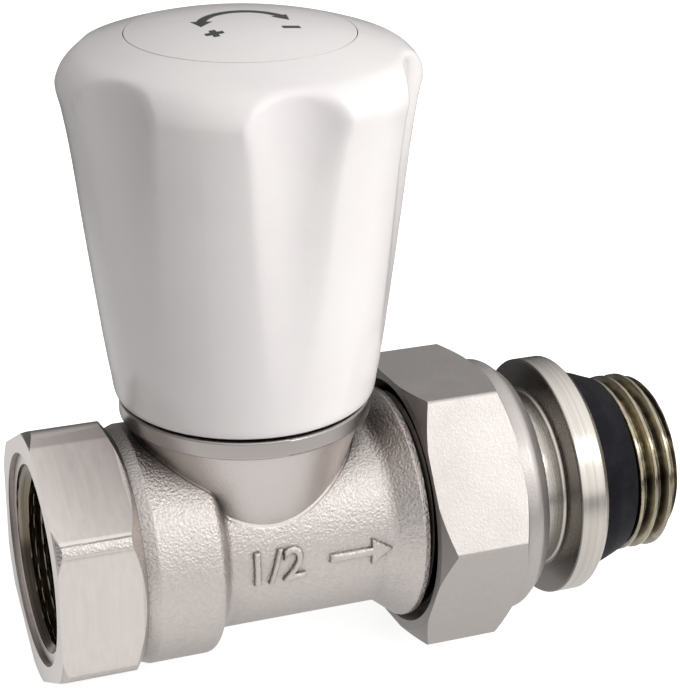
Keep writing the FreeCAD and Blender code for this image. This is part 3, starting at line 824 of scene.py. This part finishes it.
def rounded(corners: Sequence[Place]) -> list[Point]:
    """Points of an open outline with its corners rounded.

    Args:
        corners: First and second coordinate and rounding of each corner.

    Returns:
        The points in order.
    """
    points = []
    for index, (first, second, rounding) in enumerate(corners):
        here = Vector((first, second))
        if rounding == 0:
            points.append((first, second))
            continue
        back = (Vector(corners[index - 1][:2]) - here).normalized()
        ahead = (Vector(corners[index + 1][:2]) - here).normalized()
        half = back.angle(ahead) / 2
        centre = here + (back + ahead).normalized() * rounding / sin(half)
        start = here + back * rounding / tan(half) - centre
        end = here + ahead * rounding / tan(half) - centre
        points.append(tuple(centre + start + back * SUPPORT))
        for share in (0.0, 0.25, 0.5, 0.75, 1.0):
            spoke = (start * (1 - share) + end * share).normalized() * rounding
            points.append(tuple(centre + spoke))
        points.append(tuple(centre + end + ahead * SUPPORT))
    return points


@dataclass(frozen=True)
class PipeThread:
    """Half-inch parallel pipe thread."""

    crest: float = 10.4775
    root: float = 9.3155
    pitch: float = 1.814
    flat: float = 1 / 6
    flank: float = 1.5
    rounding: float = 0.45

    def share(self, along: float, turn: float) -> float:
        """Height share of the ridge.

        Args:
            along: Place along the pipe in millimetres.
            turn: Angle round the pipe in radians.

        Returns:
            0 at the root and 1 at the crest.
        """
        phase = (along / self.pitch - turn / (2 * pi)) % 1.0
        slope = min(max((abs(2 * phase - 1) - self.flat) * self.flank, 0.0), 1.0)
        return (1 - self.rounding) * slope + self.rounding * slope * slope * (3 - 2 * slope)


def threaded_rows(start: float, end: float, count: int, radius: Wall) -> list[Row]:
    """Rows of a threaded wall, from its radius at a place along the pipe and a turn."""
    places = (start + (end - start) * step / count for step in range(count + 1))
    return [(along, partial(radius, along)) for along in places]


def polar(radius: float, turn: float) -> Point:
    """Point at a radius and a turn in radians."""
    return radius * cos(turn), radius * sin(turn)


def curve_outline(name: str, outlines: Sequence[Sequence[Point]], thickness: float, bevel: float) -> Mesh:
    """Flat plate cut to outlines, with rounded edges.

    Args:
        name: Name of the mesh.
        outlines: Closed outlines in millimetres.
        thickness: Half of the plate's thickness in millimetres.
        bevel: Rounding of its edges in millimetres.

    Returns:
        The plate, in millimetres.
    """
    curve = bpy.data.curves.new(name, "CURVE")
    curve.dimensions = "2D"
    curve.fill_mode = "BOTH"
    for outline in outlines:
        spline = curve.splines.new("POLY")
        spline.points.add(len(outline) - 1)
        for point, (first, second) in zip(spline.points, outline):
            point.co = (first, second, 0.0, 1.0)
        spline.use_cyclic_u = True
    return plate_mesh(curve, thickness, bevel, 0.0)


def plate_mesh(curve: Curve, thickness: float, bevel: float, bolder: float) -> Mesh:
    """Turn a flat curve into a plate.

    Args:
        curve: The curve or text.
        thickness: Half of the plate's thickness in millimetres.
        bevel: Rounding of its edges in millimetres.
        bolder: Width added on each side of its strokes in millimetres.

    Returns:
        The plate, in millimetres.
    """
    curve.extrude = thickness
    curve.bevel_depth = bevel
    curve.bevel_resolution = 2
    curve.offset = bolder - bevel
    holder = add(curve.name, curve)
    bpy.context.view_layer.update()
    ready = holder.evaluated_get(bpy.context.evaluated_depsgraph_get())
    mesh = bpy.data.meshes.new_from_object(ready)
    bpy.data.objects.remove(holder)
    return mesh


def wrap(mesh: Mesh, place: Callable[[Vector], Vector]) -> Mesh:
    """Cut a flat plate into small squares and move every point to its place on the valve.

    Args:
        mesh: The plate in millimetres.
        place: Place in the row frame, in millimetres, for a point of the plate.

    Returns:
        The same mesh in metres.
    """
    plate = bmesh.new()
    plate.from_mesh(mesh)
    for side in range(2):
        along = [vertex.co[side] for vertex in plate.verts]
        start = min(along)
        way = Vector((1 - side, side, 0))
        for step in range(1, ceil((max(along) - start) / PLATE_SQUARE)):
            everything = plate.verts[:] + plate.edges[:] + plate.faces[:]
            cut = way * (start + step * PLATE_SQUARE)
            bmesh.ops.bisect_plane(plate, geom=everything, plane_co=cut, plane_no=way)
    plate.to_mesh(mesh)
    plate.free()
    for vertex in mesh.vertices:
        vertex.co = place(vertex.co) * MM
    mesh.shade_smooth()
    mesh.set_sharp_from_angle(angle=radians(PLATE_SHARP))
    return mesh


@dataclass
class ForgedBody:
    """Valve body: its finish, the thread in its inlet and the marks forged on its barrel."""

    thread: PipeThread = PipeThread()
    thread_mouth: float = 0.02
    thread_depth: float = 12.2
    thread_lead: float = 0.9
    thread_steps: int = 150
    thread_segments: int = 120
    thread_sharp: float = 40
    wall_gap: float = 0.015
    wall_thickness: float = 0.1
    barrel_radius: float = 11.0
    arrow_start: float = 30.0
    arrow_neck: float = 34.9
    arrow_end: float = 37.4
    arrow_width: float = 1.0
    arrow_head: float = 3.2
    mark_turn: float = 1.0
    size_place: float = 23.8
    size_height: float = 5.4
    size_bolder: float = 0.12
    relief: float = 0.44

    def build(self) -> None:
        """Dress the body and add its thread and marks."""
        forged = ForgedNickel().make()
        dress("valve_body", forged)
        self.inlet_thread()
        self.arrow(forged)
        self.size_mark(forged)

    def inlet_thread(self) -> None:
        """Ridge of the inlet thread, standing in from the wall of the bore."""
        # Its colours are darkened far below brass: painted shade of the deep bore.
        finish = TurnedMetal("inlet_thread", (0.28, 0.24, 0.185), (0.11, 0.092, 0.07), Axis.PIPE, rough=0.16)
        wall = self.thread.crest - self.wall_gap
        behind = wall + self.wall_thickness
        radius = partial(self.inlet_radius, wall)
        rows = threaded_rows(self.thread_mouth, self.thread_depth, self.thread_steps, radius)
        rows = [(self.thread_mouth, behind), *rows, (self.thread_depth, behind)]
        mesh = lathe_mesh(rows[::-1], self.thread_segments, self.thread_sharp)
        show("inlet_thread", mesh, finish.make(), Body.VALVE)

    def inlet_radius(self, wall: float, along: float, turn: float) -> float:
        """Radius of the threaded wall, with the ridge rising from nothing at the mouth."""
        ridge = wall - (wall - self.thread.root) * self.thread.share(along, turn)
        return max(ridge, wall - along * self.thread_lead)

    def on_barrel(self, point: Vector) -> Vector:
        """Bend a plate round the front of the barrel.

        Args:
            point: Point of the flat plate.

        Returns:
            Its place in the row frame, in millimetres.
        """
        turn = radians(self.mark_turn) + point.y / self.barrel_radius
        reach = self.barrel_radius + point.z
        return Vector((point.x, -reach * cos(turn), reach * sin(turn)))

    def arrow(self, material: Material) -> None:
        """Arrow that shows which way the water runs.

        Args:
            material: Its finish.
        """
        half = self.arrow_width / 2
        wing = self.arrow_head / 2
        outline = [
            (self.arrow_start, -half),
            (self.arrow_neck, -half),
            (self.arrow_neck, -wing),
            (self.arrow_end, 0.0),
            (self.arrow_neck, wing),
            (self.arrow_neck, half),
            (self.arrow_start, half),
        ]
        mesh = curve_outline("flow_arrow", [outline], self.relief * 0.3, self.relief * 0.7)
        show("flow_arrow", wrap(mesh, self.on_barrel), material, Body.VALVE)

    def size_mark(self, material: Material) -> None:
        """Thread size in raised figures.

        Args:
            material: Their finish.
        """
        text = bpy.data.curves.new("size_mark", "FONT")
        text.body = "1/2"
        text.size = self.size_height
        text.align_x = "CENTER"
        text.align_y = "CENTER"
        mesh = plate_mesh(text, self.relief * 0.4, self.relief * 0.6, self.size_bolder)
        mesh.transform(Matrix.Translation((self.size_place, 0, 0)))
        show("size_mark", wrap(mesh, self.on_barrel), material, Body.VALVE)


@dataclass
class HandKnob:
    """Hand knob with its lid and the turning arrow printed on it."""

    top: float = 58.3
    shoulder_radius: float = 16.3
    dome_rise: float = 2.8
    mark_shift: float = -2.2
    arrow_radius: float = 4.7
    arrow_width: float = 1.0
    arrow_sweep: float = 62.0
    arrow_steps: int = 40
    head_length: float = 1.8
    head_width: float = 2.2
    sign_size: float = 1.9
    sign_width: float = 0.65
    sign_aside: float = 0.86
    sign_below: float = 0.42
    ink: float = 0.03

    def build(self) -> None:
        """Dress the knob and its lid, and print the arrow."""
        dress("knob", MouldedWhite("white_knob").make())
        dress("knob_cap", MouldedWhite("white_cap", rough=0.2).make())
        mesh = curve_outline("turn_arrow", self.outlines(), self.ink, 0.0)
        show("turn_arrow", wrap(mesh, self.on_dome), PrintInk().make(), Body.HANDWHEEL)

    def on_dome(self, point: Vector) -> Vector:
        """Lay a plate on the domed lid.

        Args:
            point: Point of the flat plate.

        Returns:
            Its place in the row frame, in millimetres.
        """
        ball = (self.shoulder_radius**2 + self.dome_rise**2) / (2 * self.dome_rise)
        beyond = point.y + self.mark_shift
        height = self.top - ball + sqrt(ball**2 - point.x**2 - beyond**2)
        return Vector((STEM_POSITION + point.x, beyond, height + point.z))

    def outlines(self) -> list[list[Point]]:
        """Outlines of the arrow and of the minus and plus signs at its ends.

        Returns:
            The closed outlines in millimetres.
        """
        half = self.arrow_width / 2
        start = 90 - self.arrow_sweep
        steps = range(self.arrow_steps + 1)
        turns = [radians(start + 2 * self.arrow_sweep * step / self.arrow_steps) for step in steps]
        outer = [polar(self.arrow_radius + half, turn) for turn in turns]
        inner = [polar(self.arrow_radius - half, turn) for turn in reversed(turns)]
        arrow = outer + self.head(90 + self.arrow_sweep, 1) + inner + self.head(start, -1)
        side = self.sign_size / 2
        thin = self.sign_width / 2
        low = -self.arrow_radius * self.sign_below
        minus = [(-side, -thin), (side, -thin), (side, thin), (-side, thin)]
        plus = [
            (-side, -thin), (-thin, -thin), (-thin, -side), (thin, -side), (thin, -thin), (side, -thin),
            (side, thin), (thin, thin), (thin, side), (-thin, side), (-thin, thin), (-side, thin),
        ]
        reach = self.arrow_radius * self.sign_aside
        return [
            arrow,
            [(first + reach, second + low) for first, second in minus],
            [(first - reach, second + low) for first, second in plus],
        ]

    def head(self, degrees: float, way: int) -> list[Point]:
        """Three points of an arrow head.

        Args:
            degrees: Turn where the head begins.
            way: 1 for a head that points anticlockwise, -1 for the other way.

        Returns:
            Its points, in the order of the outline.
        """
        turn = radians(degrees)
        half = way * self.head_width / 2
        return [
            polar(self.arrow_radius + half, turn),
            polar(self.arrow_radius, turn + way * self.head_length / self.arrow_radius),
            polar(self.arrow_radius - half, turn),
        ]


@dataclass
class UnionNut:
    """Union nut, shown as it is in the frame."""

    node: str = "union_nut"

    def build(self) -> None:
        """Dress the nut."""
        dress(self.node, SatinNickel().make())


@dataclass
class Tail:
    """Tailpiece with its cut thread and its seal ring."""

    thread: PipeThread = PipeThread()
    nose_start: float = 42.9
    nose_radius: float = 8.9
    groove_centre: float = 45.9
    groove_half: float = 0.77
    groove_radius: float = 7.38
    lip_start: float = 48.92
    neck_radius: float = 10.2
    ring_start: float = 49.92
    ring_end: float = 51.36
    ring_radius: float = 9.4
    flange_start: float = 59.25
    flange_radius: float = 13.98
    flange_end: float = 63.0
    flange_chamfer: float = 0.7
    seal_radius: float = 9.3
    thread_start: float = 68.34
    end: float = 73.8
    end_chamfer: float = 0.8
    thread_steps: int = 96
    segments: int = 144
    sharp: float = 38
    bore_radius: float = 6.6
    key_flats: float = 12.2
    key_start: float = 58.75
    key_chamfer: float = 0.3

    def build(self) -> None:
        """Build the tailpiece and dress its seal."""
        turned = TurnedMetal(
            "turned_nickel",
            (0.70, 0.655, 0.605),
            (0.56, 0.52, 0.47),
            Axis.PIPE,
            crest_start=self.thread_start,
            crest_end=self.end,
            # The flange's back face gets painted shade.
            painted_shade_face=self.flange_start,
        ).make()
        piece = show("tail_with_thread", self.mesh(), turned, Body.TAIL)
        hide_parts("tailpiece")
        rubber = DarkRubber().make()
        dress("tail_seal", rubber)
        dress("tail_o_ring", rubber)

    def thread_radius(self, along: float, turn: float) -> float:
        """Outside radius of the thread at a place along the pipe and a turn."""
        ridge = self.thread.root + (self.thread.crest - self.thread.root) * self.thread.share(along, turn)
        return min(ridge, self.thread.crest - self.end_chamfer + self.end - along)

    def key_radius(self, turn: float) -> float:
        """Radius of the hexagon key hole at a turn."""
        sixth = pi / 3
        return self.key_flats / 2 / cos(turn % sixth - sixth / 2)

    def mesh(self) -> Mesh:
        """Turn the whole tailpiece.

        Returns:
            The mesh in metres.
        """
        groove_start = self.groove_centre - self.groove_half
        groove_end = self.groove_centre + self.groove_half
        corners = (
            (self.nose_start, self.bore_radius, 0),
            (self.nose_start, self.nose_radius, 0.4),
            (groove_start, self.nose_radius, 0),
            (groove_start, self.groove_radius, 0),
            (groove_end, self.groove_radius, 0),
            (groove_end, self.nose_radius, 0),
            (self.lip_start, self.nose_radius, 0),
            (self.lip_start, self.neck_radius, 0.2),
            (self.ring_start, self.neck_radius, 0),
            (self.ring_start, self.ring_radius, 0),
            (self.ring_end, self.ring_radius, 0),
            (self.ring_end, self.neck_radius, 0),
            (self.flange_start, self.neck_radius, 0.5),
            (self.flange_start, self.flange_radius, 0.2),
            (self.flange_end - self.flange_chamfer, self.flange_radius, 0.3),
            (self.flange_end, self.flange_radius - self.flange_chamfer, 0.2),
            (self.flange_end, self.seal_radius, 0),
            (self.thread_start, self.seal_radius, 0),
        )
        rows: list[Row] = list(rounded(corners))
        rows += threaded_rows(self.thread_start, self.end, self.thread_steps, self.thread_radius)
        rows += [
            (self.end, lambda turn: self.key_radius(turn) + self.key_chamfer),
            (self.end - self.key_chamfer, self.key_radius),
            (self.key_start, self.key_radius),
            (self.key_start, self.bore_radius),
        ]
        return lathe_mesh(rows, self.segments, self.sharp)


@dataclass
class InnerWorks:
    """Everything inside the knob and the body, shown as it is in the frame."""

    brass_nodes: tuple[str, ...] = ("bonnet", "gland_nut", "stem", "valve_plug", "seat_washer_plate")
    steel_nodes: tuple[str, ...] = (
        "stem_clip", "knob_screw", "knob_lock_washer", "seat_washer_screw", "nut_retaining_ring",
    )
    rubber_nodes: tuple[str, ...] = ("stem_o_ring", "seat_washer")
    slip_nodes: tuple[str, ...] = ("thrust_washer", "packing_ring")
    fibre_nodes: tuple[str, ...] = ("bonnet_gasket",)

    def build(self) -> None:
        """Dress every inner piece."""
        brass = TurnedMetal("plain_brass", (0.78, 0.60, 0.28), (0.58, 0.42, 0.17), Axis.STEM)
        steel = TurnedMetal("bright_steel", (0.62, 0.62, 0.61), (0.44, 0.44, 0.44), Axis.STEM, rough=0.3)
        slip = SoftSheet("white_slip", (0.82, 0.82, 0.80), (0.72, 0.72, 0.70), 0.4)
        fibre = SoftSheet("red_fibre", (0.36, 0.12, 0.07), (0.24, 0.075, 0.045), 0.75)
        for nodes, finish in (
            (self.brass_nodes, brass),
            (self.steel_nodes, steel),
            (self.rubber_nodes, DarkRubber()),
            (self.slip_nodes, slip),
            (self.fibre_nodes, fibre),
        ):
            material = finish.make()
            for node in nodes:
                dress(node, material)


@dataclass(frozen=True)
class Lamp:
    """Round soft lamp, its sizes in millimetres and its power in watts."""

    name: str
    place: Place
    width: float
    power: float
    mirrored: bool = False
    aim: Place = (STEM_POSITION + 6, 0, 20)

    def build(self) -> None:
        """Stand the lamp in the scene. Metal and gloss show it only if it is mirrored."""
        light = bpy.data.lights.new(self.name, "AREA")
        light.energy = self.power
        light.shape = "DISK"
        light.size = self.width * MM
        lamp = add(self.name, light)
        lamp.location = Vector(self.place) * MM
        way = Vector(self.aim) * MM - lamp.location
        lamp.rotation_euler = way.to_track_quat("-Z", "Y").to_euler()
        lamp.visible_glossy = self.mirrored


@dataclass
class Studio:
    """Pale floor, soft light and the camera at the photograph's angle."""

    floor_height: float = -15.6
    floor_reach: float = 3000.0
    floor_tone: Colour = (0.62, 0.62, 0.62)
    floor_glow: float = 0.82
    behind_x: Span = (-25.0, 25.0)
    behind_y: Span = (-5.0, 22.0)
    gloss_glow: Span = (0.95, 0.13)
    gloss_shade: Span = (0.7, 1.0)
    gloss_fade: Span = (1.0, 0.25)
    fade_reach: Span = (60.0, 180.0)
    shade_reach: float = 30.0
    room_slope: Place = (0.45, -0.5, 0.6)
    room_reach: Span = (-0.45, 1.0)
    room_dark: Colour = (0.15, 0.15, 0.155)
    room_light: Colour = (1.35, 1.35, 1.35)
    room_white: Colour = (1.0, 1.0, 1.0)
    room_strength: Span = (0.55, 1.0)
    lamps: tuple[Lamp, ...] = (
        Lamp("key_lamp", (390, -330, 190), 320, 1.55),
        Lamp("top_lamp", (60, -120, 480), 480, 0.3),
        Lamp("back_lamp", (-200, 400, 250), 320, 0.5),
        Lamp("glint_lamp", (330, -330, 320), 110, 0.24, mirrored=True),
    )
    camera_place: Place = (-36.73, -190.455, 108.566)
    camera_right: Place = (0.936786, -0.349812, 0.007976)
    camera_down: Place = (-0.132045, -0.374539, -0.917761)
    camera_ahead: Place = (0.324031, 0.858692, -0.397053)
    focal_pixels: float = 2000.0
    long_side: float = 688.0

    def build(self) -> None:
        """Set up floor, world, lamps and camera."""
        self.floor()
        self.world()
        for lamp in self.lamps:
            lamp.build()
        self.camera()

    def floor(self) -> None:
        """Plain pale floor with a soft shadow, white to the camera; in what metal shows, it glows darker
        behind and far off, with a painted shadow of the valve in that glow.
        """
        side = self.floor_reach * MM
        height = self.floor_height * MM
        corners = ((-side, -side), (side, -side), (side, side), (-side, side))
        mesh = bpy.data.meshes.new("floor")
        mesh.from_pydata([(x, y, height) for x, y in corners], [], [(0, 1, 2, 3)])
        material = bpy.data.materials.new("pale_floor")
        material.use_nodes = True
        board = Board(material.node_tree)
        board.tree.nodes.clear()
        path = board.place("ShaderNodeLightPath").outputs
        matt = board.join("ShaderNodeBsdfDiffuse", self.floor_tone)
        glow = board.place("ShaderNodeEmission")
        board.feed(glow.inputs["Strength"], board.product(path["Is Camera Ray"], self.floor_glow))
        seen = board.join("ShaderNodeAddShader", matt, glow.outputs[0])
        x, y, _ = board.parts(board.millimetres())
        behind = board.product(board.smooth(x, *self.behind_x), board.smooth(y, *self.behind_y))
        away = board.use(axis_place(), Axis.STEM.value)["Radius"]
        # Painted shadow: ambient occlusion dims the floor's glow where metal sees it near the valve.
        shade = board.place("ShaderNodeAmbientOcclusion", samples=4)
        shade.inputs["Distance"].default_value = self.shade_reach * MM
        strength = board.product(
            board.span(behind, *self.gloss_glow),
            board.span(shade.outputs["AO"], *self.gloss_shade),
            board.span(board.smooth(away, *self.fade_reach), *self.gloss_fade),
        )
        mirrored = board.place("ShaderNodeEmission")
        board.feed(mirrored.inputs["Strength"], strength)
        surface = board.join("ShaderNodeMixShader", path["Is Glossy Ray"], seen, mirrored.outputs[0])
        board.feed(board.place("ShaderNodeOutputMaterial").inputs["Surface"], surface)
        mesh.materials.append(material)
        plane = add("floor", mesh)

    def world(self) -> None:
        """White room for the camera, with a soft fall of light for everything else."""
        world = bpy.data.worlds.new("studio")
        bpy.context.scene.world = world
        world.use_nodes = True
        board = Board(world.node_tree)
        board.tree.nodes.clear()
        path = board.place("ShaderNodeLightPath").outputs
        way = board.parts(board.place("ShaderNodeTexCoord").outputs["Generated"])
        slant = board.total(*(board.product(part, slope) for part, slope in zip(way, self.room_slope)))
        fall = board.blend(board.smooth(slant, *self.room_reach), self.room_dark, self.room_light)
        shown = board.blend(path["Is Camera Ray"], fall, self.room_white)
        sharp = board.highest(*(path[f"Is {kind} Ray"] for kind in ("Glossy", "Transmission", "Camera")))
        room = board.join("ShaderNodeBackground", shown, board.span(sharp, *self.room_strength))
        board.feed(board.place("ShaderNodeOutputWorld").inputs["Surface"], room)

    def camera(self) -> None:
        """Camera where the photograph was taken from."""
        data = bpy.data.cameras.new("camera")
        data.lens = self.focal_pixels / self.long_side * data.sensor_width
        data.clip_start = 0.01
        camera = add("camera", data)
        axes = (self.camera_right, -Vector(self.camera_down), -Vector(self.camera_ahead))
        turn = Matrix(axes).transposed()
        camera.matrix_world = Matrix.Translation(Vector(self.camera_place) * MM) @ turn.to_4x4()
        bpy.context.scene.camera = camera


def main() -> None:
    """Build and dress the valve, then set up the studio."""
    logging.basicConfig(level=logging.INFO, format="%(name)s: %(message)s")
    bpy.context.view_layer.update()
    for assembly in (ForgedBody(), HandKnob(), UnionNut(), Tail(), InnerWorks(), Studio()):
        assembly.build()
        LOG.info("finished %s", type(assembly).__name__)
    bpy.context.scene.view_settings.view_transform = "Standard"


if __name__ == "__main__":
    main()
